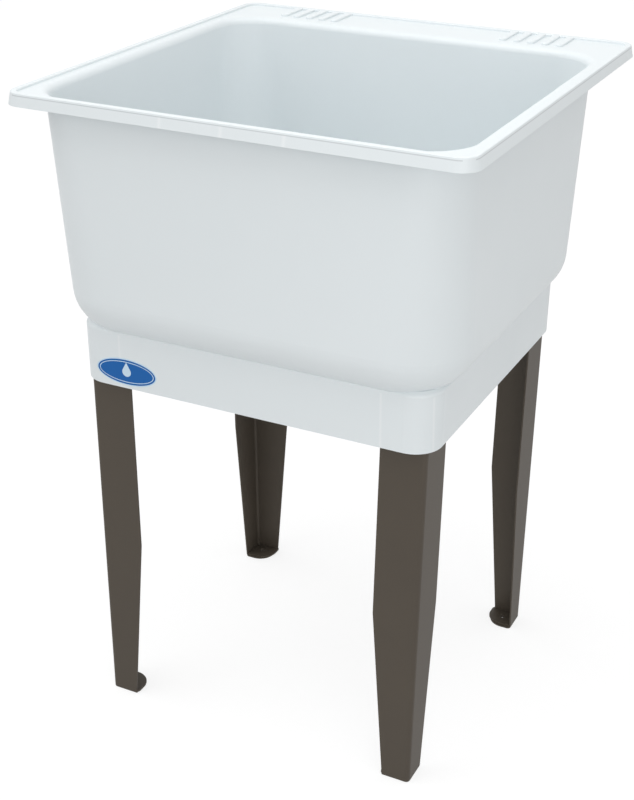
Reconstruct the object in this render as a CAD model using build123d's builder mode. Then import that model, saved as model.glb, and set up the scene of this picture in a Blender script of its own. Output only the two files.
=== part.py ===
"""Floor-standing utility laundry sink: a moulded plastic tub on four pressed-steel legs.

Millimetres. +Z is up and the user stands on the -Y side. The origin is on the floor, under the middle
of the rim.
"""

import os
from math import asin, degrees, radians, sqrt, tan

from build123d import *

# ---- overall ----
HEIGHT = 838.0
RIM_WIDTH = 584.0
RIM_DEPTH = 597.0
FIT_GAP = 0.3

# ---- rim and deck ----
RIM_RADIUS = 24.0
RIM_EDGE_RADIUS = 1.5
LIP_HEIGHT = 15.5
LIP_DRAFT = 11.0
WALL = 4.5
BORDER = 7.5
DECK_DROP = 3.0
RIB_COUNT = 5
RIB_PITCH = 19.6
RIB_WIDTH = 10.0
RIB_LENGTH = 53.0
RIB_GROUP_SPACING = 328.0
GUSSET_COUNT = 5
GUSSET_PITCH = 77.0
GUSSET_THICKNESS = 3.0
GUSSET_DROP = 5.0
LEDGE_GUSSET_DROP = 45.0
GUSSET_ABOVE_LIP_FOOT = 2.0

# ---- bowl ----
SIDE_RIM = 23.0
FRONT_RIM = 17.0
BACK_LEDGE = 80.0
BOWL_CORNER_RADIUS = 58.0
BOWL_FOOT_CORNER_RADIUS = 88.0
BOWL_DEPTH = 303.0
BOWL_DRAFT = 1.6
BOTTOM_RADIUS = 58.0
FLOOR_THICKNESS = 5.0
MOUTH_RADIUS = 9.0
DISH_RADIUS = 150.0
DISH_DEPTH = 4.0
FLOOR_RIB_COUNT = 8
FLOOR_RIB_DEPTH = 14.0
FLOOR_RIB_THICKNESS = 3.0

# ---- skirt under the bowl ----
SKIRT_HEIGHT = 73.0
SKIRT_OVERLAP = 10.0
SKIRT_SHELF = 3.2
SKIRT_SHOULDER_HEIGHT = 4.0
SKIRT_SHOULDER_SLOPE = 50.0
SKIRT_SHOULDER_RADIUS = 4.0
SKIRT_DRAFT = 1.2
SKIRT_CORNER_RADIUS = 36.0
SKIRT_WALL = 4.0
SKIRT_ROOT_THICKNESS = 10.0

# ---- leg sockets ----
SOCKET_DEPTH = 51.0
SOCKET_WALL = 2.5
SOCKET_WEB_THICKNESS = 3.0
SOCKET_WEB_PITCH = 24.0
SOCKET_WEB_COUNT = 2

# ---- legs ----
LEG_THICKNESS = 2.0
LEG_WIDTH = 58.5
LEG_FOOT_WIDTH = 36.5
LEG_TAPER_HEIGHT = 235.0
LEG_BEND_RADIUS = 5.5
LEG_SIDE_INSET = 9.0
LEG_END_INSET = 12.5
LEG_LEAN = 1.15
TAB_LENGTH = 39.5
TAB_CORNER_RADIUS = 22.0
TAB_BEND_RADIUS = 1.9
ANCHOR_HOLE_RADIUS = 3.25
ANCHOR_INSET = 19.0
RELIEF_HOLE_RADIUS = 2.0
RELIEF_INSET = 6.5

# ---- leg screws ----
SCREW_RADIUS = 2.1
SCREW_LENGTH = 9.0
SCREW_TIP = 2.0
SCREW_TIP_RADIUS = 0.4
SCREW_HEX_RADIUS = 4.0
SCREW_HEX_HEIGHT = 3.0
SCREW_WASHER_RADIUS = 5.0
SCREW_WASHER_THICKNESS = 0.9
SCREW_HOLE_GAP = 0.2
SCREW_FROM_CORNER = 36.0
SCREW_BELOW_LEG_TOP = 24.0

# ---- drain body ----
SUMP_DEPTH = 4.0
BOSS_MARGIN = 8.0
DRAIN_FLANGE_RADIUS = 43.0
DRAIN_FLANGE_THICKNESS = 3.5
DRAIN_FLANGE_EDGE = 1.5
DRAIN_HOLE_GAP = 0.6
SHANK_RADIUS = 23.9
SHANK_LENGTH = 52.0
THROAT_RADIUS = 20.0
SEAT_TOP_RADIUS = 23.0
SEAT_DEPTH = 14.0
SPIDER_DROP = 22.0
SPIDER_HEIGHT = 5.0
SPIDER_ARM = 3.0
HUB_RADIUS = 4.5

# ---- strainer ----
PLATE_THICKNESS = 1.2
PLATE_HOLE_RADIUS = 1.9
PLATE_INNER_RING = 8.3
PLATE_INNER_COUNT = 6
PLATE_OUTER_RING = 14.6
PLATE_OUTER_COUNT = 12
PLATE_SCREW_RADIUS = 1.8
PLATE_SCREW_LENGTH = 8.0
PLATE_SCREW_HEAD_RADIUS = 3.6
PLATE_SCREW_HEAD_HEIGHT = 2.0
THREAD_GAP = 0.2

# ---- washers and nuts ----
GASKET_RADIUS = 39.0
GASKET_THICKNESS = 3.0
FRICTION_RADIUS = 37.0
FRICTION_THICKNESS = 1.2
LOCKNUT_RADIUS = 35.0
LOCKNUT_HEIGHT = 11.0
LOCKNUT_LOBE_RADIUS = 6.0
COUPLING_WALL = 4.0
COUPLING_LIP = 6.0
COUPLING_BORE_GAP = 1.0
COUPLING_ENGAGEMENT = 13.0
COUPLING_LOBE_RADIUS = 3.0
LOBE_COUNT = 8

# ---- tailpiece ----
TAIL_RADIUS = 19.05
TAIL_WALL = 1.6
TAIL_LENGTH = 82.5
TAIL_FLANGE_RADIUS = 23.2
TAIL_FLANGE_THICKNESS = 2.5
TAIL_WASHER_THICKNESS = 2.5

# ---- stopper ----
PLUG_GAP = 0.35
PLUG_REACH = 11.0
PLUG_WALL = 4.5
STOPPER_DISC_RADIUS = 31.0
STOPPER_DISC_THICKNESS = 4.0
STOPPER_DISC_EDGE = 1.5
EYE_WIDTH = 11.0
EYE_HEIGHT = 9.0
EYE_THICKNESS = 4.0
EYE_HOLE_RADIUS = 1.9
RING_RADIUS = 10.0
RING_WIRE_RADIUS = 1.1

# ---- levels and places worked out from the sizes above ----
DECK_TOP = HEIGHT - DECK_DROP
DECK_UNDER = DECK_TOP - WALL
LIP_FOOT = HEIGHT - LIP_HEIGHT
LIP_FLARE = LIP_HEIGHT * tan(radians(LIP_DRAFT))
LEDGE_BACK = RIM_DEPTH / 2 - LIP_FLARE - BORDER

BOWL_WIDTH = RIM_WIDTH - 2 * SIDE_RIM
BOWL_LENGTH = RIM_DEPTH - FRONT_RIM - BACK_LEDGE
FLOOR_TOP = HEIGHT - BOWL_DEPTH
FLOOR_UNDER = FLOOR_TOP - FLOOR_THICKNESS
BOWL_Y = (FRONT_RIM - BACK_LEDGE) / 2
BOWL_MIDDLE = Plane.XZ.offset(-BOWL_Y)
DRAIN_AXIS = Axis((0, BOWL_Y, 0), (0, 0, 1))

SUMP_FLOOR = FLOOR_TOP - DISH_DEPTH - SUMP_DEPTH
SUMP_RADIUS = DRAIN_FLANGE_RADIUS + FIT_GAP
BOSS_UNDER = SUMP_FLOOR - FLOOR_THICKNESS
BOSS_RADIUS = SUMP_RADIUS + BOSS_MARGIN
DRAIN_HOLE_RADIUS = SHANK_RADIUS + DRAIN_HOLE_GAP

SKIRT_TOP = FLOOR_UNDER + SKIRT_OVERLAP
SKIRT_FOOT = SKIRT_TOP - SKIRT_HEIGHT
BOWL_INSET_AT_SKIRT = (
    (DECK_TOP - SKIRT_TOP) * tan(radians(BOWL_DRAFT))
    + BOTTOM_RADIUS
    - sqrt(BOTTOM_RADIUS**2 - (BOTTOM_RADIUS - SKIRT_OVERLAP) ** 2)
)
SKIRT_WIDTH = BOWL_WIDTH - 2 * (BOWL_INSET_AT_SKIRT - SKIRT_SHELF)
SKIRT_LENGTH = BOWL_LENGTH - 2 * (BOWL_INSET_AT_SKIRT - SKIRT_SHELF)
SKIRT_TAPER = SKIRT_HEIGHT * tan(radians(SKIRT_DRAFT))

LEG_TOP = SKIRT_FOOT + SOCKET_DEPTH
LEG_SLOPE = tan(radians(LEG_LEAN))
LEG_DIRECTION = (-LEG_SLOPE, 0, 1)
LEG_X = SKIRT_WIDTH / 2 - SKIRT_TAPER - LEG_SIDE_INSET
LEG_Y = SKIRT_LENGTH / 2 - SKIRT_TAPER - LEG_END_INSET
SOCKET_CORNER = Plane((-LEG_X, BOWL_Y - LEG_Y, SKIRT_FOOT))
FOOT_CORNER = Plane((-LEG_X + SKIRT_FOOT * LEG_SLOPE, BOWL_Y - LEG_Y, 0))
SCREW_Z = LEG_TOP - SCREW_BELOW_LEG_TOP
SCREW_SEAT = LEG_THICKNESS + FIT_GAP + SOCKET_WALL

FLANGE_TOP = SUMP_FLOOR + DRAIN_FLANGE_THICKNESS
SHANK_END = SUMP_FLOOR - SHANK_LENGTH
SPIDER_TOP = FLANGE_TOP - SPIDER_DROP
GASKET_UNDER = BOSS_UNDER - GASKET_THICKNESS
LOCKNUT_TOP = GASKET_UNDER - FRICTION_THICKNESS
TAIL_TOP = SHANK_END - TAIL_WASHER_THICKNESS
TAIL_END = TAIL_TOP - TAIL_LENGTH
COUPLING_SEAT = TAIL_TOP - TAIL_FLANGE_THICKNESS
COUPLING_FOOT = COUPLING_SEAT - COUPLING_LIP
COUPLING_TOP = SHANK_END + COUPLING_ENGAGEMENT

DISC_UNDER = FLANGE_TOP + FIT_GAP
DISC_TOP = DISC_UNDER + STOPPER_DISC_THICKNESS
EYE_CENTER = DISC_TOP + EYE_HEIGHT - EYE_WIDTH / 2
RING_REST = DISC_TOP + FIT_GAP + RING_WIRE_RADIUS
RING_TILT = degrees(asin((EYE_CENTER - RING_REST) / (2 * RING_RADIUS)))


def bowl_outline(level, grow=0.0):
    """Draw the bowl's outline at a level: it shrinks with the draft while its corners grow rounder."""
    below_deck = DECK_TOP - level
    inset = below_deck * tan(radians(BOWL_DRAFT)) - grow
    rounder = (BOWL_FOOT_CORNER_RADIUS - BOWL_CORNER_RADIUS) * below_deck / (DECK_TOP - FLOOR_UNDER)
    with Locations((0, BOWL_Y)):
        RectangleRounded(
            BOWL_WIDTH - 2 * inset,
            BOWL_LENGTH - 2 * inset,
            BOWL_CORNER_RADIUS + rounder + grow,
        )


def slanted(height):
    """The length along the leg's lean that rises by a height."""
    return height * sqrt(1 + LEG_SLOPE**2)


def leg_angle(grow=0.0):
    """Draw the leg's angle section, with its faces moved out by `grow`."""
    middle = LEG_THICKNESS / 2
    end = LEG_WIDTH + grow
    with BuildLine() as bend:
        FilletPolyline(
            (end, middle),
            (middle, middle),
            (middle, end),
            radius=LEG_BEND_RADIUS - middle,
        )
    trace(bend.line, line_width=LEG_THICKNESS + 2 * grow)


def leg_screw_seats():
    """The planes of the front left leg's two screw heads, on the inner wall of its socket."""
    corner_x = -LEG_X - (SCREW_Z - SKIRT_FOOT) * LEG_SLOPE
    corner_y = BOWL_Y - LEG_Y
    front = (corner_x + SCREW_FROM_CORNER, corner_y + SCREW_SEAT, SCREW_Z)
    side = (corner_x + SCREW_SEAT, corner_y + SCREW_FROM_CORNER, SCREW_Z)
    return Plane(front, z_dir=(0, 1, 0)), Plane(side, z_dir=(1, 0, LEG_SLOPE))


def drain_level(level):
    """The horizontal plane on the drain's axis at a level."""
    return Plane((0, BOWL_Y, level))


def washer(outer_radius, inner_radius):
    """Draw a flat ring."""
    Circle(outer_radius)
    Circle(inner_radius, mode=Mode.SUBTRACT)


def lobed_disc(radius, lobe_radius):
    """Draw the outline of a hand nut with round grips."""
    Circle(radius)
    with PolarLocations(radius, LOBE_COUNT):
        Circle(lobe_radius)


# ---- the hollow of the bowl, with its dished floor, sump and drain hole ----

with BuildPart() as bowl_hollow:
    for level in (FLOOR_TOP, DECK_TOP):
        with BuildSketch(Plane.XY.offset(level)):
            bowl_outline(level, grow=-WALL)
    loft(ruled=True)
    fillet(bowl_hollow.edges().group_by(Axis.Z)[0], radius=BOTTOM_RADIUS - WALL)
    with BuildSketch(BOWL_MIDDLE):
        with BuildLine():
            Polyline(
                (0, FLOOR_TOP + BOTTOM_RADIUS),
                (DISH_RADIUS, FLOOR_TOP + BOTTOM_RADIUS),
                (DISH_RADIUS, FLOOR_TOP),
                (SUMP_RADIUS, FLOOR_TOP - DISH_DEPTH),
                (SUMP_RADIUS, SUMP_FLOOR),
                (DRAIN_HOLE_RADIUS, SUMP_FLOOR),
                (DRAIN_HOLE_RADIUS, BOSS_UNDER),
                (0, BOSS_UNDER),
                close=True,
            )
        make_face()
    revolve(axis=DRAIN_AXIS)

# ---- the skirt, and the four leg sockets tied to it by webs ----

with BuildPart() as skirt:
    with BuildSketch(Plane.XY.offset(SKIRT_TOP)) as skirt_outline:
        with Locations((0, BOWL_Y)):
            RectangleRounded(SKIRT_WIDTH, SKIRT_LENGTH, SKIRT_CORNER_RADIUS)
    extrude(amount=-SKIRT_HEIGHT, taper=SKIRT_DRAFT)
    extrude(skirt_outline.sketch, amount=SKIRT_SHOULDER_HEIGHT, taper=SKIRT_SHOULDER_SLOPE)
    fillet(skirt.edges().group_by(Axis.Z)[-3], radius=SKIRT_SHOULDER_RADIUS)
    with BuildSketch(Plane.XY.offset(SKIRT_TOP)):
        with Locations((0, BOWL_Y)):
            RectangleRounded(
                SKIRT_WIDTH - 2 * SKIRT_WALL,
                SKIRT_LENGTH - 2 * SKIRT_WALL,
                SKIRT_CORNER_RADIUS - SKIRT_WALL,
            )
    extrude(amount=-SKIRT_HEIGHT, taper=SKIRT_DRAFT, mode=Mode.SUBTRACT)
    with BuildSketch(Plane.XY.offset(FLOOR_UNDER)):
        with Locations((0, BOWL_Y)):
            RectangleRounded(
                SKIRT_WIDTH - SKIRT_WALL,
                SKIRT_LENGTH - SKIRT_WALL,
                SKIRT_CORNER_RADIUS - SKIRT_WALL / 2,
            )
            RectangleRounded(
                SKIRT_WIDTH - 2 * SKIRT_ROOT_THICKNESS,
                SKIRT_LENGTH - 2 * SKIRT_ROOT_THICKNESS,
                SKIRT_CORNER_RADIUS - SKIRT_ROOT_THICKNESS,
                mode=Mode.SUBTRACT,
            )
    extrude(amount=SKIRT_OVERLAP)

with BuildPart() as sockets:
    with BuildSketch(SOCKET_CORNER):
        leg_angle(FIT_GAP + SOCKET_WALL)
    extrude(amount=slanted(SKIRT_HEIGHT - SKIRT_OVERLAP / 2), dir=LEG_DIRECTION)
    with BuildSketch(SOCKET_CORNER):
        side_reach = LEG_SIDE_INSET - SKIRT_WALL / 2
        end_reach = LEG_END_INSET - SKIRT_WALL / 2
        for web in range(SOCKET_WEB_COUNT):
            along = LEG_WIDTH - web * SOCKET_WEB_PITCH
            with Locations((-side_reach, along)):
                Rectangle(side_reach, SOCKET_WEB_THICKNESS, align=(Align.MIN, Align.CENTER))
            with Locations((along, -end_reach)):
                Rectangle(SOCKET_WEB_THICKNESS, end_reach, align=(Align.CENTER, Align.MIN))
    extrude(amount=SKIRT_HEIGHT - SKIRT_OVERLAP)
    mirror(about=BOWL_MIDDLE)
    mirror(about=Plane.YZ)

with BuildPart() as slots:
    with BuildSketch(SOCKET_CORNER):
        leg_angle(FIT_GAP)
    extrude(amount=slanted(SOCKET_DEPTH), dir=LEG_DIRECTION)
    for seat in leg_screw_seats():
        with BuildSketch(seat):
            Circle(SCREW_RADIUS + SCREW_HOLE_GAP)
        extrude(amount=-SCREW_LENGTH)
    mirror(about=BOWL_MIDDLE)
    mirror(about=Plane.YZ)

# ---- tub: rim, bowl, skirt and sockets in one moulding ----

with BuildPart() as tub:
    # rim: a lid whose lip is turned down all round
    with BuildSketch(Plane.XY.offset(LIP_FOOT)):
        RectangleRounded(RIM_WIDTH, RIM_DEPTH, RIM_RADIUS)
    extrude(amount=LIP_HEIGHT, taper=LIP_DRAFT)
    with BuildSketch(Plane.XY.offset(LIP_FOOT)):
        RectangleRounded(RIM_WIDTH - 2 * WALL, RIM_DEPTH - 2 * WALL, RIM_RADIUS - WALL)
    extrude(amount=DECK_UNDER - LIP_FOOT, taper=LIP_DRAFT, mode=Mode.SUBTRACT)

    # bowl: leaning walls, corners that grow rounder downwards, a large radius round the bottom and a
    # small one under the rim
    for level in (FLOOR_UNDER, DECK_TOP):
        with BuildSketch(Plane.XY.offset(level)):
            bowl_outline(level)
    loft(ruled=True)
    fillet(tub.edges().group_by(Axis.Z)[0], radius=BOTTOM_RADIUS)
    underside = tub.faces().filter_by(Plane.XY).group_by(Axis.Z)[-2][0]
    fillet(underside.inner_wires()[0].edges(), radius=MOUTH_RADIUS - WALL)

    # gussets between the bowl and the lip, taller under the back ledge
    for index in range(GUSSET_COUNT):
        offset_along = (index - (GUSSET_COUNT - 1) / 2) * GUSSET_PITCH
        with BuildSketch(BOWL_MIDDLE.offset(offset_along)):
            with BuildLine():
                Polyline(
                    (RIM_WIDTH / 2 - WALL, DECK_UNDER + WALL / 2),
                    (RIM_WIDTH / 2 - WALL, LIP_FOOT + GUSSET_ABOVE_LIP_FOOT),
                    (BOWL_WIDTH / 2 - WALL, LIP_FOOT - GUSSET_DROP),
                    (WALL - BOWL_WIDTH / 2, LIP_FOOT - GUSSET_DROP),
                    (WALL - RIM_WIDTH / 2, LIP_FOOT + GUSSET_ABOVE_LIP_FOOT),
                    (WALL - RIM_WIDTH / 2, DECK_UNDER + WALL / 2),
                    close=True,
                )
            make_face()
        extrude(amount=GUSSET_THICKNESS / 2, both=True)
        with BuildSketch(Plane.YZ.offset(offset_along)):
            with BuildLine():
                Polyline(
                    (RIM_DEPTH / 2 - WALL, DECK_UNDER + WALL / 2),
                    (RIM_DEPTH / 2 - WALL, LIP_FOOT + GUSSET_ABOVE_LIP_FOOT),
                    (BOWL_Y + BOWL_LENGTH / 2 - WALL, LIP_FOOT - LEDGE_GUSSET_DROP),
                    (BOWL_Y - BOWL_LENGTH / 2 + WALL, LIP_FOOT - GUSSET_DROP),
                    (WALL - RIM_DEPTH / 2, LIP_FOOT + GUSSET_ABOVE_LIP_FOOT),
                    (WALL - RIM_DEPTH / 2, DECK_UNDER + WALL / 2),
                    close=True,
                )
            make_face()
        extrude(amount=GUSSET_THICKNESS / 2, both=True)

    # under the floor: the drain's boss, the ribs from it to the skirt, the skirt and its sockets
    with BuildSketch(BOWL_MIDDLE):
        with BuildLine():
            Polyline(
                (0, FLOOR_TOP),
                (DISH_RADIUS, FLOOR_TOP),
                (DISH_RADIUS, FLOOR_UNDER),
                (BOSS_RADIUS, FLOOR_UNDER - DISH_DEPTH),
                (BOSS_RADIUS, BOSS_UNDER),
                (0, BOSS_UNDER),
                close=True,
            )
        make_face()
    revolve(axis=DRAIN_AXIS)
    with BuildSketch(drain_level(FLOOR_UNDER - FLOOR_RIB_DEPTH)):
        rib_reach = SKIRT_LENGTH / 2 - SKIRT_TAPER - SKIRT_WALL
        with PolarLocations((BOSS_RADIUS + rib_reach) / 2, FLOOR_RIB_COUNT):
            Rectangle(rib_reach - BOSS_RADIUS + WALL, FLOOR_RIB_THICKNESS)
    extrude(amount=FLOOR_RIB_DEPTH + SKIRT_OVERLAP)
    add(skirt.part)
    add(sockets.part)

    # deck: lowered inside the border, with two groups of soap ribs left standing on the back ledge
    with BuildSketch(Plane.XY.offset(DECK_TOP)):
        RectangleRounded(
            RIM_WIDTH - 2 * (LIP_FLARE + BORDER),
            RIM_DEPTH - 2 * (LIP_FLARE + BORDER),
            RIM_RADIUS - LIP_FLARE - BORDER,
        )
        with GridLocations(RIB_GROUP_SPACING, 0, 2, 1):
            with Locations((0, LEDGE_BACK + (RIB_WIDTH - RIB_LENGTH) / 2)):
                with GridLocations(RIB_PITCH, 0, RIB_COUNT, 1):
                    SlotOverall(RIB_LENGTH + RIB_WIDTH, RIB_WIDTH, rotation=90, mode=Mode.SUBTRACT)
    extrude(amount=DECK_DROP, mode=Mode.SUBTRACT)

    # openings: the bowl, its rolled mouth, and the slots for the legs
    add(bowl_hollow.part, mode=Mode.SUBTRACT)
    add(slots.part, mode=Mode.SUBTRACT)
    deck = tub.faces().filter_by(Plane.XY).group_by(Axis.Z)[-2][0]
    front_deck = FRONT_RIM + WALL - LIP_FLARE - BORDER
    fillet(deck.inner_wires()[0].edges(), radius=min(MOUTH_RADIUS, 0.9 * front_deck))
    fillet(tub.edges().group_by(Axis.Z)[-1], radius=RIM_EDGE_RADIUS)

tub.part.label = "tub"

# ---- legs: one bent sheet each, narrower towards the floor, with two tabs lapped into a foot ----

with BuildPart() as leg_front_left:
    with BuildSketch(FOOT_CORNER):
        leg_angle()
    extrude(amount=slanted(LEG_TOP), dir=LEG_DIRECTION)
    front_face = Plane(FOOT_CORNER.origin, x_dir=(1, 0, 0), z_dir=(0, -1, 0))
    side_face = Plane(FOOT_CORNER.origin, x_dir=(0, 1, 0), z_dir=(1, 0, 0))
    for face, drift in ((front_face, LEG_TAPER_HEIGHT * LEG_SLOPE), (side_face, 0)):
        with BuildSketch(face):
            with BuildLine():
                Polyline(
                    (LEG_FOOT_WIDTH, 0),
                    (LEG_WIDTH - drift, LEG_TAPER_HEIGHT),
                    (LEG_WIDTH + LEG_THICKNESS, LEG_TAPER_HEIGHT),
                    (LEG_WIDTH + LEG_THICKNESS, 0),
                    close=True,
                )
            make_face()
        extrude(amount=LEG_WIDTH, both=True, mode=Mode.SUBTRACT)

    # foot: the front flange's tab lies on the floor and the side flange's tab on top of it
    with BuildSketch(FOOT_CORNER) as lower_tab:
        Rectangle(LEG_FOOT_WIDTH, TAB_LENGTH, align=(Align.MIN, Align.MIN))
        fillet(lower_tab.vertices().group_by(Axis.Y)[-1].sort_by(Axis.X)[-1], radius=TAB_CORNER_RADIUS)
        fillet(lower_tab.vertices().group_by(Axis.X)[0], radius=LEG_BEND_RADIUS)
    extrude(amount=LEG_THICKNESS)
    with BuildSketch(FOOT_CORNER.offset(LEG_THICKNESS)) as upper_tab:
        Rectangle(TAB_LENGTH, LEG_FOOT_WIDTH, align=(Align.MIN, Align.MIN))
        fillet(upper_tab.vertices().group_by(Axis.X)[-1].sort_by(Axis.Y)[-1], radius=TAB_CORNER_RADIUS)
        fillet(upper_tab.vertices().group_by(Axis.Y)[0], radius=LEG_BEND_RADIUS)
    extrude(amount=LEG_THICKNESS)
    sole_edges = leg_front_left.edges().group_by(Axis.Z)[0]
    front_edge = sole_edges.sort_by(Axis.Y)[0]
    side_edge = sole_edges.sort_by(Axis.X)[0]
    bend_edge = sole_edges.sort_by_distance(FOOT_CORNER.origin)[0]
    fillet([front_edge, side_edge, bend_edge], radius=min(TAB_BEND_RADIUS, 0.95 * LEG_THICKNESS))
    with BuildSketch(FOOT_CORNER):
        with Locations((ANCHOR_INSET, ANCHOR_INSET)):
            Circle(ANCHOR_HOLE_RADIUS)
        with Locations((RELIEF_INSET, RELIEF_INSET)):
            Circle(RELIEF_HOLE_RADIUS)
    extrude(amount=2 * LEG_THICKNESS, mode=Mode.SUBTRACT)
    for seat in leg_screw_seats():
        with BuildSketch(seat):
            Circle(SCREW_RADIUS + SCREW_HOLE_GAP)
        extrude(amount=-SCREW_LENGTH, mode=Mode.SUBTRACT)

with BuildPart() as leg_front_right:
    mirror(leg_front_left.part, about=Plane.YZ)

with BuildPart() as leg_back_left:
    mirror(leg_front_left.part, about=BOWL_MIDDLE)

with BuildPart() as leg_back_right:
    mirror(leg_back_left.part, about=Plane.YZ)

leg_front_left.part.label = "leg_front_left"
leg_front_right.part.label = "leg_front_right"
leg_back_left.part.label = "leg_back_left"
leg_back_right.part.label = "leg_back_right"

# ---- leg screws: two through each socket, with hex washer heads inside the skirt ----

with BuildPart() as leg_screws:
    for seat in leg_screw_seats():
        with BuildSketch(seat):
            Circle(SCREW_WASHER_RADIUS)
        extrude(amount=SCREW_WASHER_THICKNESS)
        with BuildSketch(seat):
            RegularPolygon(SCREW_HEX_RADIUS, 6)
        extrude(amount=SCREW_WASHER_THICKNESS + SCREW_HEX_HEIGHT)
        with Locations(seat):
            Cylinder(
                SCREW_RADIUS,
                SCREW_LENGTH - SCREW_TIP,
                align=(Align.CENTER, Align.CENTER, Align.MAX),
            )
        with Locations(seat.offset(SCREW_TIP - SCREW_LENGTH)):
            Cone(
                SCREW_TIP_RADIUS,
                SCREW_RADIUS,
                SCREW_TIP,
                align=(Align.CENTER, Align.CENTER, Align.MAX),
            )
    mirror(about=BOWL_MIDDLE)
    mirror(about=Plane.YZ)

leg_screws.part.label = "leg_screws"

# ---- drain body: a flanged and threaded shank with a cone seat and a spider ----

with BuildPart() as drain_body:
    with BuildSketch(BOWL_MIDDLE):
        with BuildLine():
            Polyline(
                (THROAT_RADIUS, SHANK_END),
                (SHANK_RADIUS, SHANK_END),
                (SHANK_RADIUS, SUMP_FLOOR),
                (DRAIN_FLANGE_RADIUS, SUMP_FLOOR),
                (DRAIN_FLANGE_RADIUS, FLANGE_TOP - DRAIN_FLANGE_EDGE),
                (DRAIN_FLANGE_RADIUS - DRAIN_FLANGE_EDGE, FLANGE_TOP),
                (SEAT_TOP_RADIUS, FLANGE_TOP),
                (THROAT_RADIUS, FLANGE_TOP - SEAT_DEPTH),
                close=True,
            )
        make_face()
    revolve(axis=DRAIN_AXIS)
    with BuildSketch(drain_level(SPIDER_TOP)):
        spider_span = THROAT_RADIUS + SHANK_RADIUS
        Rectangle(spider_span, SPIDER_ARM)
        Rectangle(SPIDER_ARM, spider_span)
        Circle(HUB_RADIUS)
        Circle(PLATE_SCREW_RADIUS + THREAD_GAP, mode=Mode.SUBTRACT)
    extrude(amount=-SPIDER_HEIGHT)

drain_body.part.label = "drain_body"

# ---- strainer plate: a pierced disc that lies on the spider ----

with BuildPart() as strainer_plate:
    with BuildSketch(drain_level(SPIDER_TOP)):
        washer(THROAT_RADIUS - FIT_GAP, PLATE_SCREW_RADIUS + THREAD_GAP)
        with PolarLocations(PLATE_INNER_RING, PLATE_INNER_COUNT):
            Circle(PLATE_HOLE_RADIUS, mode=Mode.SUBTRACT)
        with PolarLocations(PLATE_OUTER_RING, PLATE_OUTER_COUNT):
            Circle(PLATE_HOLE_RADIUS, mode=Mode.SUBTRACT)
    extrude(amount=PLATE_THICKNESS)

strainer_plate.part.label = "strainer_plate"

# ---- strainer screw: holds the plate on the spider's hub ----

with BuildPart() as strainer_screw:
    with BuildSketch(drain_level(SPIDER_TOP + PLATE_THICKNESS)):
        Circle(PLATE_SCREW_HEAD_RADIUS)
    extrude(amount=PLATE_SCREW_HEAD_HEIGHT)
    fillet(strainer_screw.edges().group_by(Axis.Z)[-1], radius=PLATE_SCREW_HEAD_HEIGHT / 2)
    with BuildSketch(drain_level(SPIDER_TOP + PLATE_THICKNESS)):
        Circle(PLATE_SCREW_RADIUS)
    extrude(amount=-PLATE_SCREW_LENGTH)

strainer_screw.part.label = "strainer_screw"

# ---- gasket, friction washer and locknut: they clamp the drain body to the floor's boss ----

with BuildPart() as drain_gasket:
    with BuildSketch(drain_level(GASKET_UNDER)):
        washer(GASKET_RADIUS, SHANK_RADIUS + FIT_GAP)
    extrude(amount=GASKET_THICKNESS)

with BuildPart() as friction_washer:
    with BuildSketch(drain_level(LOCKNUT_TOP)):
        washer(FRICTION_RADIUS, SHANK_RADIUS + FIT_GAP)
    extrude(amount=FRICTION_THICKNESS)

with BuildPart() as drain_locknut:
    with BuildSketch(drain_level(LOCKNUT_TOP)):
        lobed_disc(LOCKNUT_RADIUS, LOCKNUT_LOBE_RADIUS)
        Circle(SHANK_RADIUS + THREAD_GAP, mode=Mode.SUBTRACT)
    extrude(amount=-LOCKNUT_HEIGHT)

drain_gasket.part.label = "drain_gasket"
friction_washer.part.label = "friction_washer"
drain_locknut.part.label = "drain_locknut"

# ---- tailpiece: a flanged outlet tube, with its washer against the shank ----

with BuildPart() as tailpiece_washer:
    with BuildSketch(drain_level(TAIL_TOP)):
        washer(TAIL_FLANGE_RADIUS, TAIL_RADIUS - TAIL_WALL)
    extrude(amount=TAIL_WASHER_THICKNESS)

with BuildPart() as tailpiece:
    with BuildSketch(drain_level(TAIL_TOP)):
        washer(TAIL_FLANGE_RADIUS, TAIL_RADIUS - TAIL_WALL)
    extrude(amount=-TAIL_FLANGE_THICKNESS)
    with BuildSketch(drain_level(TAIL_TOP)):
        washer(TAIL_RADIUS, TAIL_RADIUS - TAIL_WALL)
    extrude(amount=-TAIL_LENGTH)

tailpiece_washer.part.label = "tailpiece_washer"
tailpiece.part.label = "tailpiece"

# ---- coupling nut: its lip lifts the tailpiece's flange against the shank ----

with BuildPart() as coupling_nut:
    with BuildSketch(drain_level(COUPLING_FOOT)):
        lobed_disc(SHANK_RADIUS + THREAD_GAP + COUPLING_WALL, COUPLING_LOBE_RADIUS)
    extrude(amount=COUPLING_TOP - COUPLING_FOOT)
    with BuildSketch(drain_level(COUPLING_SEAT)):
        Circle(SHANK_RADIUS + THREAD_GAP)
    extrude(amount=COUPLING_TOP - COUPLING_SEAT, mode=Mode.SUBTRACT)
    with BuildSketch(drain_level(COUPLING_FOOT)):
        Circle(TAIL_RADIUS + COUPLING_BORE_GAP)
    extrude(amount=COUPLING_LIP, mode=Mode.SUBTRACT)

coupling_nut.part.label = "coupling_nut"

# ---- stopper: a hollow rubber plug under a disc, with an eye for its ring ----

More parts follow.
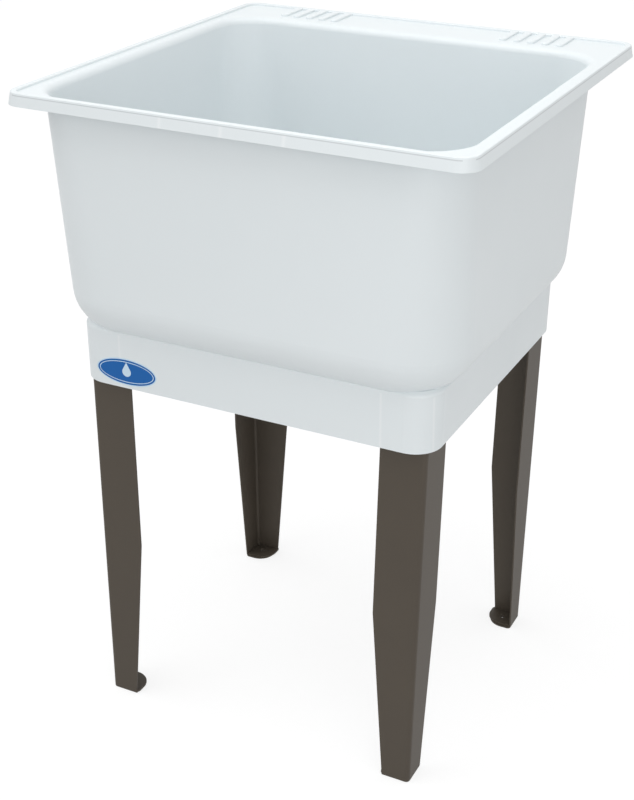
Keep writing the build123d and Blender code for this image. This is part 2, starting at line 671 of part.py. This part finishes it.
with BuildPart() as stopper:
    seat_slope = (SEAT_TOP_RADIUS - THROAT_RADIUS) / SEAT_DEPTH
    plug_top_radius = SEAT_TOP_RADIUS - PLUG_GAP
    plug_foot_radius = plug_top_radius - (PLUG_REACH - FIT_GAP) * seat_slope
    with BuildSketch(BOWL_MIDDLE):
        with BuildLine():
            Polyline(
                (0, DISC_UNDER),
                (plug_foot_radius - PLUG_WALL, DISC_UNDER),
                (plug_foot_radius - PLUG_WALL, DISC_UNDER - PLUG_REACH),
                (plug_foot_radius, DISC_UNDER - PLUG_REACH),
                (plug_top_radius, DISC_UNDER),
                (STOPPER_DISC_RADIUS, DISC_UNDER),
                (STOPPER_DISC_RADIUS, DISC_TOP),
                (0, DISC_TOP),
                close=True,
            )
        make_face()
    revolve(axis=DRAIN_AXIS)
    fillet(stopper.edges().group_by(Axis.Z)[-1], radius=STOPPER_DISC_EDGE)
    with BuildSketch(Plane.YZ):
        with Locations((BOWL_Y, EYE_CENTER)):
            Circle(EYE_WIDTH / 2)
            Rectangle(EYE_WIDTH, EYE_CENTER - DISC_UNDER, align=(Align.CENTER, Align.MAX))
            Circle(EYE_HOLE_RADIUS, mode=Mode.SUBTRACT)
    extrude(amount=EYE_THICKNESS / 2, both=True)

stopper.part.label = "stopper"

# ---- stopper ring: a wire ring through the eye, lying forward on the disc ----

with BuildPart() as stopper_ring:
    with Locations(drain_level(EYE_CENTER).rotated((RING_TILT, 0, 0))):
        with Locations((0, -RING_RADIUS)):
            Torus(RING_RADIUS, RING_WIRE_RADIUS)

stopper_ring.part.label = "stopper_ring"

# ---- one file for each piece ----

os.makedirs("parts", exist_ok=True)
export_step(tub.part, "parts/tub.step")
export_step(leg_front_left.part, "parts/leg_front_left.step")
export_step(leg_front_right.part, "parts/leg_front_right.step")
export_step(leg_back_left.part, "parts/leg_back_left.step")
export_step(leg_back_right.part, "parts/leg_back_right.step")
export_step(leg_screws.part, "parts/leg_screws.step")
export_step(drain_body.part, "parts/drain_body.step")
export_step(strainer_plate.part, "parts/strainer_plate.step")
export_step(strainer_screw.part, "parts/strainer_screw.step")
export_step(drain_gasket.part, "parts/drain_gasket.step")
export_step(friction_washer.part, "parts/friction_washer.step")
export_step(drain_locknut.part, "parts/drain_locknut.step")
export_step(tailpiece_washer.part, "parts/tailpiece_washer.step")
export_step(tailpiece.part, "parts/tailpiece.step")
export_step(coupling_nut.part, "parts/coupling_nut.step")
export_step(stopper.part, "parts/stopper.step")
export_step(stopper_ring.part, "parts/stopper_ring.step")
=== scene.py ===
from math import cos, pi, radians, sin, tan

import bmesh
import bpy
from mathutils import Matrix, Vector


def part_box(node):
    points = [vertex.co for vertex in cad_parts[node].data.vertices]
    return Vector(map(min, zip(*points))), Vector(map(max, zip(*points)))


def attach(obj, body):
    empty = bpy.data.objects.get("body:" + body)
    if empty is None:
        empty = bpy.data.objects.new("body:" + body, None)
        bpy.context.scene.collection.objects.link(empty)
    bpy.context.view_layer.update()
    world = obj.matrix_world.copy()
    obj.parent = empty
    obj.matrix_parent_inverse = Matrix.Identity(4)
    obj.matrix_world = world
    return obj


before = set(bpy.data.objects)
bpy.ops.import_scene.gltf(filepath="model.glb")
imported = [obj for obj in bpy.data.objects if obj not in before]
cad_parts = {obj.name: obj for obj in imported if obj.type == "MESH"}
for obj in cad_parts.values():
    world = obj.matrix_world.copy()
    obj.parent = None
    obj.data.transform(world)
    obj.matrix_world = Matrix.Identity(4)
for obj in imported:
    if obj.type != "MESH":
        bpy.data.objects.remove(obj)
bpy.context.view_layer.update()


# ---- Tub ----
# One injection moulding of pale, cool-white plastic: rim, bowl, skirt and leg sockets. The mould
# leaves a satin skin with a faint orange peel, a parting line round the lip, and sink marks where
# the gussets under the lip and the webs of the leg sockets stand behind the outer wall. The sink
# marks are painted paler, a painted highlight for the light they catch, and the parting line is
# painted dark grey, a painted shade under the rim's edge.

TUB_TINT = (0.788, 0.833, 0.850)
TUB_TINT_LOW = (0.762, 0.811, 0.829)
TUB_ROUGHNESS = 0.42
# A paler colour painted on the sink marks: a painted highlight for the light they catch.
SINK_HIGHLIGHT_PALE = (0.90, 0.92, 0.93)
# A grey painted along the parting line: painted shade under the rim's edge.
PARTING_SHADE_GREY = (0.45, 0.48, 0.50)
drain_low, drain_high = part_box("drain_body")
BOWL_Y = (drain_low.y + drain_high.y) / 2
tub_low, tub_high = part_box("tub")
RIM_TOP = tub_high.z
RIM_SIDE = tub_high.x
RIM_FRONT = tub_low.y
LIP_HEIGHT = 0.0165
LIP_FOOT = RIM_TOP - LIP_HEIGHT
LIP_THICKNESS = 0.006
LIP_LEAN = 0.0045
PARTING_SHADE_DEPTH = 0.0031
PARTING_SHADE_LINE = RIM_TOP - PARTING_SHADE_DEPTH
PARTING_SHADE_HALF_WIDTH = 0.0009
PARTING_SHADE_SHARE = 0.70
SKIRT_TOP = 0.540
SKIRT_FACE = 0.198
EDGE_ROUNDING = 0.003
GUSSET_PITCH = 0.077
GUSSET_SEEN = 0.100
GUSSET_MARK = 0.0035
SOCKET_WEB_X = 0.1750
SOCKET_WEB_MARK = 0.0022
SOCKET_CORNER_X = 0.2328
SOCKET_CORNER_MARK = 0.0012
SINK_HIGHLIGHT_SHARE = 0.45
PEEL_STRENGTH = 0.35
PEEL_DEPTH = 0.00003
ROUGHNESS_SWING = 0.16


def feed(tree, socket, source):
    """Feed an input socket with a number, a colour or another node's socket."""
    if isinstance(source, bpy.types.NodeSocket):
        tree.links.new(source, socket)
    elif isinstance(source, tuple):
        socket.default_value = (*source, 1.0)
    else:
        socket.default_value = source


def feed_node(tree, node, **sources):
    """Feed a node's input sockets by name."""
    for name, source in sources.items():
        feed(tree, node.inputs[name.replace("_", " ")], source)
    return node


def add_node(tree, kind, group=None, **sources):
    """Add a node, or a node group, to a tree and feed its input sockets by name."""
    made = tree.nodes.new(kind)
    if group:
        made.node_tree = group
    return feed_node(tree, made, **sources)


def new_group(name, kind, inputs, outputs):
    """Make a node group, its sockets given as names with their types, and its two end nodes."""
    group = bpy.data.node_groups.new(name, kind)
    for direction, sockets in (("INPUT", inputs), ("OUTPUT", outputs)):
        for socket, sort in sockets.items():
            group.interface.new_socket(socket, in_out=direction, socket_type=f"NodeSocket{sort}")
    return group, group.nodes.new("NodeGroupInput"), group.nodes.new("NodeGroupOutput")


def calculate(tree, operation, first, second=0.0):
    """Add a Math node whose two operands are numbers or sockets, and return its output."""
    made = add_node(tree, "ShaderNodeMath")
    made.operation = operation
    for socket, operand in zip(made.inputs, (first, second)):
        feed(tree, socket, operand)
    return made.outputs[0]


def blend_colours(tree, share, low, high):
    """Mix two colours by a socket that holds the share of the second one."""
    made = add_node(tree, "ShaderNodeMix", Factor=share)
    made.data_type = "RGBA"
    ends = [socket for socket in made.inputs if socket.type == "RGBA"]
    for socket, colour in zip(ends, (low, high)):
        feed(tree, socket, colour)
    return next(socket for socket in made.outputs if socket.type == "RGBA")


def noise(tree, scale, detail, roughness=0.5):
    """Add noise over the piece's own coordinates, and return its value, from 0 to 1."""
    place = add_node(tree, "ShaderNodeTexCoord")
    made = add_node(
        tree, "ShaderNodeTexNoise", Vector=place.outputs["Object"], Scale=scale, Detail=detail,
        Roughness=roughness)
    return made.outputs["Fac"]


def waver(tree, mean, ripple, swing):
    """A value that wavers round its mean as a noise from 0 to 1 does."""
    uneven = calculate(tree, "SUBTRACT", ripple, 0.5)
    return calculate(tree, "ADD", mean, calculate(tree, "MULTIPLY", uneven, swing))


def bump(tree, height, strength, depth):
    """Turn a height from 0 to 1 into a normal that tilts with it."""
    made = add_node(tree, "ShaderNodeBump", Strength=strength, Distance=depth, Height=height)
    return made.outputs["Normal"]


def new_finish(name, **sources):
    """Make a Principled material, fed by name. Returns it with its tree and its shader."""
    finish = bpy.data.materials.new(name)
    finish.use_nodes = True
    tree = finish.node_tree
    return finish, tree, feed_node(tree, tree.nodes["Principled BSDF"], **sources)


def dress(node, finish):
    """Give a CAD node its finish."""
    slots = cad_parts[node].data.materials
    for place in range(len(slots)):
        slots[place] = finish


def moulded_skin():
    """A shader group for the skin of a moulding: mottled tint, uneven gloss and orange peel."""
    group, given, result = new_group(
        "moulded skin", "ShaderNodeTree",
        {"Tint": "Color", "Low Tint": "Color", "Mottle Scale": "Float", "Peel Scale": "Float",
         "Mean Roughness": "Float"},
        {"Color": "Color", "Roughness": "Float", "Height": "Float"})
    mottle = noise(group, given.outputs["Mottle Scale"], detail=3.0, roughness=0.55)
    peel = noise(group, given.outputs["Peel Scale"], detail=2.0, roughness=0.6)
    feed_node(
        group, result,
        Color=blend_colours(group, mottle, given.outputs["Tint"], given.outputs["Low Tint"]),
        Roughness=waver(group, given.outputs["Mean Roughness"], mottle, ROUGHNESS_SWING),
        Height=peel)
    return group


MOULDED_SKIN = moulded_skin()


def moulded_plastic(name, tint, low_tint, roughness, mottle_scale=6.0, peel_scale=900.0):
    """A satin moulded plastic. Returns the material, its tree and its nodes for further work."""
    finish, tree, shader = new_finish(name, IOR=1.49)
    skin = add_node(
        tree, "ShaderNodeGroup", MOULDED_SKIN, Tint=tint, Low_Tint=low_tint,
        Mottle_Scale=mottle_scale, Peel_Scale=peel_scale, Mean_Roughness=roughness)
    feed_node(
        tree, shader, Base_Color=skin.outputs["Color"], Roughness=skin.outputs["Roughness"],
        Normal=bump(tree, skin.outputs["Height"], PEEL_STRENGTH, PEEL_DEPTH))
    return finish, tree, skin, shader


def tent(tree, value, place, half_width):
    """A mask that is 1 where a value is at a place and falls evenly to 0 at the half width."""
    apart = calculate(tree, "ABSOLUTE", calculate(tree, "SUBTRACT", value, place))
    fall = calculate(tree, "SUBTRACT", 1.0, calculate(tree, "DIVIDE", apart, half_width))
    return calculate(tree, "MAXIMUM", fall, 0.0)


def overlap(tree, first, *others):
    """The product of some masks: it is 1 only where all of them are."""
    for other in others:
        first = calculate(tree, "MULTIPLY", first, other)
    return first


def mould_marks_painted_light():
    """Masks for a painted highlight on the sink marks and painted shade on the parting line."""
    group, _, result = new_group(
        "mould marks", "ShaderNodeTree", {}, {"Sink": "Float", "Parting": "Float"})
    place = add_node(group, "ShaderNodeTexCoord")
    parts = add_node(group, "ShaderNodeSeparateXYZ", Vector=place.outputs["Object"])
    across, along, up = (parts.outputs[axis] for axis in "XYZ")
    side = calculate(group, "ABSOLUTE", across)
    depth = calculate(group, "ABSOLUTE", calculate(group, "SUBTRACT", along, BOWL_Y))

    nearest = calculate(group, "ROUND", calculate(group, "DIVIDE", across, GUSSET_PITCH))
    gusset = calculate(group, "MULTIPLY", nearest, GUSSET_PITCH)
    # Where the painted highlight on the gussets' sink marks falls on the lip.
    lip_sink_highlight = overlap(
        group, tent(group, across, gusset, GUSSET_MARK),
        calculate(group, "GREATER_THAN", up, LIP_FOOT),
        calculate(group, "LESS_THAN", up, RIM_TOP - EDGE_ROUNDING),
        calculate(group, "LESS_THAN", along, RIM_FRONT + LIP_THICKNESS),
        calculate(group, "LESS_THAN", side, GUSSET_SEEN))

    # Where the painted highlight on the sockets' sink marks falls on the skirt.
    web = tent(group, side, SOCKET_WEB_X, SOCKET_WEB_MARK)
    corner = tent(group, side, SOCKET_CORNER_X, SOCKET_CORNER_MARK)
    skirt_sink_highlight = overlap(
        group, calculate(group, "MAXIMUM", web, corner),
        calculate(group, "LESS_THAN", up, SKIRT_TOP - EDGE_ROUNDING),
        calculate(group, "GREATER_THAN", depth, SKIRT_FACE))

    # The painted shade of the parting line keeps to the lip's outer face, because the deck behind
    # it lies as high. The rim reaches as far behind the origin as before it, so one test serves
    # both.
    past_side = calculate(group, "SUBTRACT", side, RIM_SIDE)
    past_front = calculate(group, "ADD", calculate(group, "ABSOLUTE", along), RIM_FRONT)
    outside = calculate(group, "MAXIMUM", past_side, past_front)
    # Where the painted shade along the parting line falls.
    parting_shade_mark = overlap(
        group, tent(group, up, PARTING_SHADE_LINE, PARTING_SHADE_HALF_WIDTH),
        calculate(group, "GREATER_THAN", outside, -LIP_LEAN))
    feed_node(
        group, result, Sink=calculate(group, "MAXIMUM", lip_sink_highlight, skirt_sink_highlight), Parting=parting_shade_mark)
    return group


def tub_plastic():
    """The tub's moulded skin, painted highlight on sink marks, painted shade on the parting line.
    """
    finish, tree, skin, shader = moulded_plastic(
        "tub plastic", TUB_TINT, TUB_TINT_LOW, TUB_ROUGHNESS)
    marks = add_node(tree, "ShaderNodeGroup", mould_marks_painted_light())
    # A painted highlight: the sink marks are made paler.
    pale = calculate(tree, "MULTIPLY", marks.outputs["Sink"], SINK_HIGHLIGHT_SHARE)
    # Painted shade: the parting line is made dark grey.
    dark = calculate(tree, "MULTIPLY", marks.outputs["Parting"], PARTING_SHADE_SHARE)
    sink_highlighted = blend_colours(tree, pale, skin.outputs["Color"], SINK_HIGHLIGHT_PALE)
    feed_node(tree, shader, Base_Color=blend_colours(tree, dark, sink_highlighted, PARTING_SHADE_GREY))
    return finish


dress("tub", tub_plastic())


# ---- Sticker on the skirt ----
# An oval of printed vinyl, pressed on to the front of the skirt near its left corner: dark blue
# with a pale edge, and a plain water drop for what the tub holds.

STICKER_X = -0.1660
STICKER_Z = 0.4893
STICKER_WIDTH = 0.086
STICKER_HEIGHT = 0.036
STICKER_THICKNESS = 0.0003
STICKER_EDGE = 0.0016
INNER_LINE_OUT = 2.5 * STICKER_EDGE
INNER_LINE_IN = 3.1 * STICKER_EDGE
SKIRT_DRAFT = radians(1.2)
SKIRT_FRONT = -0.25102
DROP_RADIUS = 0.0062
DROP_REACH = 2.1 * DROP_RADIUS
DROP_SHOULDER = radians(30)
DROP_LIFT = 0.00005
INK_BLUE = (0.001, 0.112, 0.395)
PALE_BLUE = (0.60, 0.76, 0.88)
# The places of the two inks in the sticker's list of materials.
BLUE, PALE = 0, 1


def printed_vinyl(name, colour):
    """Glossy printed film in one plain colour."""
    return new_finish(name, Base_Color=colour, Roughness=0.35, IOR=1.35)[0]


def add_object(name, data):
    """Put a new object in the scene."""
    made = bpy.data.objects.new(name, data)
    bpy.context.scene.collection.objects.link(made)
    return made


def oval(width, height, count=96):
    """The points of an oval, counter-clockwise, in the sticker's own plane."""
    turns = [2 * pi * index / count for index in range(count)]
    return [(width / 2 * cos(turn), height / 2 * sin(turn)) for turn in turns]


def drop(count=40):
    """The points of a water drop: most of a circle, drawn out to a tip above it."""
    sweep = [DROP_SHOULDER - (2 * DROP_SHOULDER + pi) * index / count for index in range(count + 1)]
    round_side = [(DROP_RADIUS * cos(turn), DROP_RADIUS * sin(turn)) for turn in sweep]
    return [(0.0, DROP_REACH)] + round_side


def sticker():
    """The sticker: an inked oval inside a pale edge, with the drop on top."""
    shape = bmesh.new()

    def on_skirt(outline, lift):
        """Set an outline's points above the drafted front of the skirt."""
        points = []
        for x, up in outline:
            z = STICKER_Z + up
            y = SKIRT_FRONT + (SKIRT_TOP - z) * tan(SKIRT_DRAFT) - lift
            points.append(shape.verts.new((STICKER_X + x, y, z)))
        return points

    def face(points, ink):
        """Fill some points with one face in an ink."""
        shape.faces.new(points).material_index = ink

    def band(first, second, ink):
        """Close the band between two rings of as many points."""
        for index in range(len(first)):
            after = (index + 1) % len(first)
            face((first[index], first[after], second[after], second[index]), ink)

    ovals = [
        oval(STICKER_WIDTH - 2 * inset, STICKER_HEIGHT - 2 * inset)
        for inset in (0.0, STICKER_EDGE, INNER_LINE_OUT, INNER_LINE_IN)]
    rings = [on_skirt(ovals[0], 0.0)] + [on_skirt(outline, STICKER_THICKNESS) for outline in ovals]
    for ink, outer, inner in zip((PALE, PALE, BLUE, PALE), rings, rings[1:]):
        band(outer, inner, ink)
    face(rings[-1], BLUE)
    face(rings[0], PALE)

    drop_foot = on_skirt(drop(), STICKER_THICKNESS / 2)
    drop_face = on_skirt(drop(), STICKER_THICKNESS + DROP_LIFT)
    band(drop_foot, drop_face, PALE)
    face(drop_foot, PALE)
    face(drop_face, PALE)
    bmesh.ops.recalc_face_normals(shape, faces=shape.faces[:])

    mesh = bpy.data.meshes.new("sticker")
    shape.to_mesh(mesh)
    shape.free()
    mesh.materials.append(printed_vinyl("blue ink", INK_BLUE))
    mesh.materials.append(printed_vinyl("pale ink", PALE_BLUE))
    return add_object("sticker", mesh)


label = sticker()
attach(label, "sink")


# ---- Legs ----
# Four angles of pressed sheet steel with a baked enamel, dark bronze-brown. The coat is smooth and
# half glossy, with a slight flow in it.

ENAMEL_BROWN = (0.081, 0.066, 0.049)
ENAMEL_DARK = (0.071, 0.058, 0.045)
ENAMEL_ROUGHNESS = 0.52
ENAMEL_IOR = 1.36
FLOW_SCALE = 14.0
COAT_SCALE = 420.0
COAT_STRENGTH = 0.25
COAT_DEPTH = 0.00003


def baked_enamel():
    """Half-gloss brown enamel with a slight flow in the coat."""
    finish, tree, shader = new_finish("bronze enamel", Roughness=ENAMEL_ROUGHNESS, IOR=ENAMEL_IOR)
    flow = noise(tree, FLOW_SCALE, detail=4.0, roughness=0.6)
    coat = noise(tree, COAT_SCALE, detail=2.0)
    feed_node(
        tree, shader, Base_Color=blend_colours(tree, flow, ENAMEL_BROWN, ENAMEL_DARK),
        Normal=bump(tree, coat, COAT_STRENGTH, COAT_DEPTH))
    return finish


BRONZE_ENAMEL = baked_enamel()
for corner in ("front_left", "front_right", "back_left", "back_right"):
    dress(f"leg_{corner}", BRONZE_ENAMEL)


# ---- Leg screws ----
# Eight hex-washer-head tapping screws of zinc-plated steel, driven from inside the skirt through
# each socket and leg.

ZINC = (0.62, 0.63, 0.62)
GRAIN_GREY = (0.30, 0.30, 0.29)
GRAIN_SHARE = 0.3
GRAIN_SWING = 0.3


def worked_metal():
    """A shader group for bare or plated steel: grain in the gloss, a faint cloud in the colour."""
    group, given, result = new_group(
        "worked metal", "ShaderNodeTree",
        {"Metal": "Color", "Grain Scale": "Float", "Mean Roughness": "Float"},
        {"Color": "Color", "Roughness": "Float"})
    grain = noise(group, given.outputs["Grain Scale"], detail=4.0, roughness=0.65)
    shade = calculate(group, "MULTIPLY", grain, GRAIN_SHARE)
    feed_node(
        group, result, Color=blend_colours(group, shade, given.outputs["Metal"], GRAIN_GREY),
        Roughness=waver(group, given.outputs["Mean Roughness"], grain, GRAIN_SWING))
    return group


WORKED_METAL = worked_metal()


def steel(name, metal, roughness, grain_scale):
    """Bare or plated steel."""
    finish, tree, shader = new_finish(name, Metallic=1.0)
    skin = add_node(
        tree, "ShaderNodeGroup", WORKED_METAL, Metal=metal, Grain_Scale=grain_scale,
        Mean_Roughness=roughness)
    feed_node(tree, shader, Base_Color=skin.outputs["Color"], Roughness=skin.outputs["Roughness"])
    return finish


dress("leg_screws", steel("zinc plating", ZINC, roughness=0.38, grain_scale=300.0))


# ---- Drain body ----
# A moulded polypropylene fitting that drops through the sump: a flange with the stopper's seat, a
# threaded shank, and a spider that carries the strainer. The thread is wound up the bare part of
# the shank, between the two nuts.

DRAIN_WHITE = (0.80, 0.81, 0.82)
DRAIN_WHITE_LOW = (0.77, 0.785, 0.80)
THREAD_PITCH = 0.0022
THREAD_RADIUS = 0.0239
THREAD_RISE = 0.0007
THREAD_FOOT = 0.4891
THREAD_HEAD = 0.5088

drain_plastic = moulded_plastic(
    "drain plastic", DRAIN_WHITE, DRAIN_WHITE_LOW, roughness=0.42, mottle_scale=30.0)[0]
dress("drain_body", drain_plastic)


def thread_tree():
    """Geometry nodes for a screw thread: a ridge of square wire, on edge, wound up a shank."""
    tree, given, result = new_group(
        "screw thread", "GeometryNodeTree",
        {"Radius": "Float", "Rise": "Float", "Pitch": "Float", "Height": "Float",
         "Material": "Material"},
        {"Geometry": "Geometry"})
    radius, height = given.outputs["Radius"], given.outputs["Height"]
    path = add_node(
        tree, "GeometryNodeCurveSpiral", Resolution=64, Start_Radius=radius, End_Radius=radius,
        Height=height, Rotations=calculate(tree, "DIVIDE", height, given.outputs["Pitch"]))
    upright = add_node(tree, "GeometryNodeSetCurveNormal", Curve=path.outputs["Curve"])
    upright.mode = "Z_UP"
    section = add_node(
        tree, "GeometryNodeCurvePrimitiveCircle", Resolution=4, Radius=given.outputs["Rise"])
    wound = add_node(
        tree, "GeometryNodeCurveToMesh", Curve=upright.outputs["Curve"],
        Profile_Curve=section.outputs["Curve"], Fill_Caps=True)
    whole = add_node(tree, "GeometryNodeRealizeInstances", Geometry=wound.outputs["Mesh"])
    coated = add_node(
        tree, "GeometryNodeSetMaterial", Geometry=whole.outputs["Geometry"],
        Material=given.outputs["Material"])
    feed_node(tree, result, Geometry=coated.outputs["Geometry"])
    return tree


def grown(name, tree, **values):
    """Run a geometry nodes tree once, its inputs set by name, and keep what it makes as a mesh."""
    seed = add_object(name, bpy.data.meshes.new(name))
    growth = seed.modifiers.new("growth", "NODES")
    growth.node_group = tree
    for item in tree.interface.items_tree:
        if item.item_type == "SOCKET" and item.in_out == "INPUT" and item.name in values:
            growth[item.identifier] = values[item.name]
    grown_seed = seed.evaluated_get(bpy.context.evaluated_depsgraph_get())
    mesh = bpy.data.meshes.new_from_object(grown_seed)
    seed.modifiers.remove(growth)
    seed.data = mesh
    return seed


shank_thread = grown(
    "shank_thread", thread_tree(), Radius=THREAD_RADIUS, Rise=THREAD_RISE, Pitch=THREAD_PITCH,
    Height=THREAD_HEAD - THREAD_FOOT, Material=drain_plastic)
shank_thread.data.transform(Matrix.Translation((0.0, BOWL_Y, THREAD_FOOT)))
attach(shank_thread, "sink")


# ---- Strainer ----
# A pierced disc of brushed stainless steel, which keeps lint and small things out of the drain. It
# lies on the spider and one pan-head screw holds it there.

STAINLESS = (0.66, 0.66, 0.65)

brushed_stainless = steel("brushed stainless", STAINLESS, roughness=0.30, grain_scale=700.0)
dress("strainer_plate", brushed_stainless)
dress("strainer_screw", brushed_stainless)


# ---- Gasket, washers and nuts ----
# A black rubber gasket and two natural plastic washers seal the joints, and two moulded hand nuts
# clamp the drain body to the bowl's floor and the outlet tube to the shank.

RUBBER_BLACK = (0.028, 0.028, 0.030)
RUBBER_DUSTY = (0.050, 0.050, 0.052)
NATURAL = (0.70, 0.70, 0.67)
NATURAL_LOW = (0.66, 0.66, 0.63)

black_rubber = moulded_plastic(
    "black rubber", RUBBER_BLACK, RUBBER_DUSTY, roughness=0.62, mottle_scale=60.0,
    peel_scale=1500.0)[0]
natural_plastic = moulded_plastic(
    "natural plastic", NATURAL, NATURAL_LOW, roughness=0.5, mottle_scale=30.0)[0]
dress("drain_gasket", black_rubber)
dress("friction_washer", natural_plastic)
dress("tailpiece_washer", natural_plastic)
dress("drain_locknut", drain_plastic)
dress("coupling_nut", drain_plastic)
dress("tailpiece", drain_plastic)


# ---- Stopper and its ring ----
# A moulded rubber plug under a flat disc, with an eye on top. A ring of stainless wire hangs in
# the eye and lifts the plug off its seat in the drain body.

dress("stopper", black_rubber)
dress("stopper_ring", steel("stainless wire", STAINLESS, roughness=0.22, grain_scale=400.0))


# ---- Floor and light ----
# A plain pale floor that shows white to the camera and keeps the sink's soft shadow, a white
# surround, a lamp over the bowl, one in front and to the right, and a weak far one from the left.

WHITE = (1.0, 1.0, 1.0)
FLOOR_SIZE = 60.0
FLOOR_PALE = (0.60, 0.60, 0.60)
FLOOR_SEEN = (0.30, 0.30, 0.30)
FLOOR_GLOW = 0.77
AMBIENT = 0.65
LAMP_AIM = (0.0, 0.0, 0.6)
BOWL_LAMP_PLACE = (0.1, -0.3, 2.4)
BOWL_LAMP_WIDTH = 1.8
BOWL_LAMP_POWER = 12.6
FRONT_LAMP_PLACE = (1.3, -1.9, 0.9)
FRONT_LAMP_WIDTH = 1.6
FRONT_LAMP_POWER = 10.8
LEFT_LAMP_STRENGTH = 0.62
LEFT_LAMP_AIM = (-0.9, -0.3, 0.9)
LEFT_LAMP_SPREAD = radians(60)


def seen_rays(tree):
    """A socket that is 1 for what the camera, a gloss or a glass sees, and otherwise 0."""
    path = add_node(tree, "ShaderNodeLightPath")
    seen = calculate(tree, "MAXIMUM", path.outputs["Is Camera Ray"], path.outputs["Is Glossy Ray"])
    return calculate(tree, "MAXIMUM", seen, path.outputs["Is Transmission Ray"])


def studio_floor():
    """A large plain floor at the level of the feet."""
    half = FLOOR_SIZE / 2
    mesh = bpy.data.meshes.new("floor")
    corners = [(-half, -half, 0.0), (half, -half, 0.0), (half, half, 0.0), (-half, half, 0.0)]
    mesh.from_pydata(corners, [], [(0, 1, 2, 3)])
    paint, tree, shader = new_finish(
        "floor paint", Roughness=1.0, Specular_IOR_Level=0.0, Emission_Color=WHITE)
    seen = seen_rays(tree)
    feed_node(
        tree, shader, Base_Color=blend_colours(tree, seen, FLOOR_PALE, FLOOR_SEEN),
        Emission_Strength=calculate(tree, "MULTIPLY", seen, FLOOR_GLOW))
    mesh.materials.append(paint)
    return add_object("floor", mesh)


def white_surround():
    """A world that lights the scene at the ambient level and shows as plain white."""
    world = bpy.data.worlds.new("surround")
    world.use_nodes = True
    tree = world.node_tree
    added = calculate(tree, "MULTIPLY", seen_rays(tree), 1.0 - AMBIENT)
    level = calculate(tree, "ADD", AMBIENT, added)
    feed_node(tree, tree.nodes["Background"], Color=WHITE, Strength=level)
    bpy.context.scene.world = world


def place_lamp(name, lamp, place, aim):
    """Put a lamp at `place`, turned to shine on `aim`, and keep it out of the camera's sight."""
    made = add_object(name, lamp)
    made.location = place
    made.rotation_euler = (Vector(place) - Vector(aim)).to_track_quat("Z", "Y").to_euler()
    made.visible_camera = False


def round_lamp(name, power, width, place):
    """A round soft lamp near the sink."""
    lamp = bpy.data.lights.new(name, "AREA")
    lamp.shape = "DISK"
    lamp.size = width
    lamp.energy = power
    place_lamp(name, lamp, place, LAMP_AIM)


def far_lamp(name, strength, aim, spread):
    """A soft lamp far away in the direction `aim`."""
    lamp = bpy.data.lights.new(name, "SUN")
    lamp.energy = strength
    lamp.angle = spread
    place_lamp(name, lamp, aim, (0.0, 0.0, 0.0))


studio_floor()
white_surround()
round_lamp("lamp over the bowl", BOWL_LAMP_POWER, BOWL_LAMP_WIDTH, BOWL_LAMP_PLACE)
round_lamp("front lamp", FRONT_LAMP_POWER, FRONT_LAMP_WIDTH, FRONT_LAMP_PLACE)
far_lamp("left lamp", LEFT_LAMP_STRENGTH, LEFT_LAMP_AIM, LEFT_LAMP_SPREAD)


# ---- Camera ----
# It stands in front and to the right of the sink, above its rim, and looks down into the bowl. Its
# lens is moved down a little, so that the legs stay in the picture.

CAMERA_PLACE = Vector((0.79387, -1.66152, 1.28323))
CAMERA_AZIMUTH = radians(26.38)
CAMERA_ELEVATION = radians(21.64)
CAMERA_ROLL = radians(0.34)
CAMERA_LENS = 68.41
CAMERA_SENSOR = 36.0
CAMERA_SHIFT = -0.15


def camera_matrix():
    """The camera's place and turn, from its azimuth, elevation and roll."""
    back = Vector((
        sin(CAMERA_AZIMUTH) * cos(CAMERA_ELEVATION),
        -cos(CAMERA_AZIMUTH) * cos(CAMERA_ELEVATION),
        sin(CAMERA_ELEVATION),
    ))
    level_right = Vector((0, 0, 1)).cross(back).normalized()
    level_up = back.cross(level_right)
    right = level_right * cos(CAMERA_ROLL) + level_up * sin(CAMERA_ROLL)
    up = level_up * cos(CAMERA_ROLL) - level_right * sin(CAMERA_ROLL)
    turned = Matrix((right, up, back)).transposed().to_4x4()
    return Matrix.Translation(CAMERA_PLACE) @ turned


camera_data = bpy.data.cameras.new("camera")
camera_data.lens = CAMERA_LENS
camera_data.sensor_width = CAMERA_SENSOR
camera_data.shift_y = CAMERA_SHIFT
camera = add_object("camera", camera_data)
camera.matrix_world = camera_matrix()
bpy.context.scene.camera = camera
bpy.context.scene.view_settings.view_transform = "Standard"
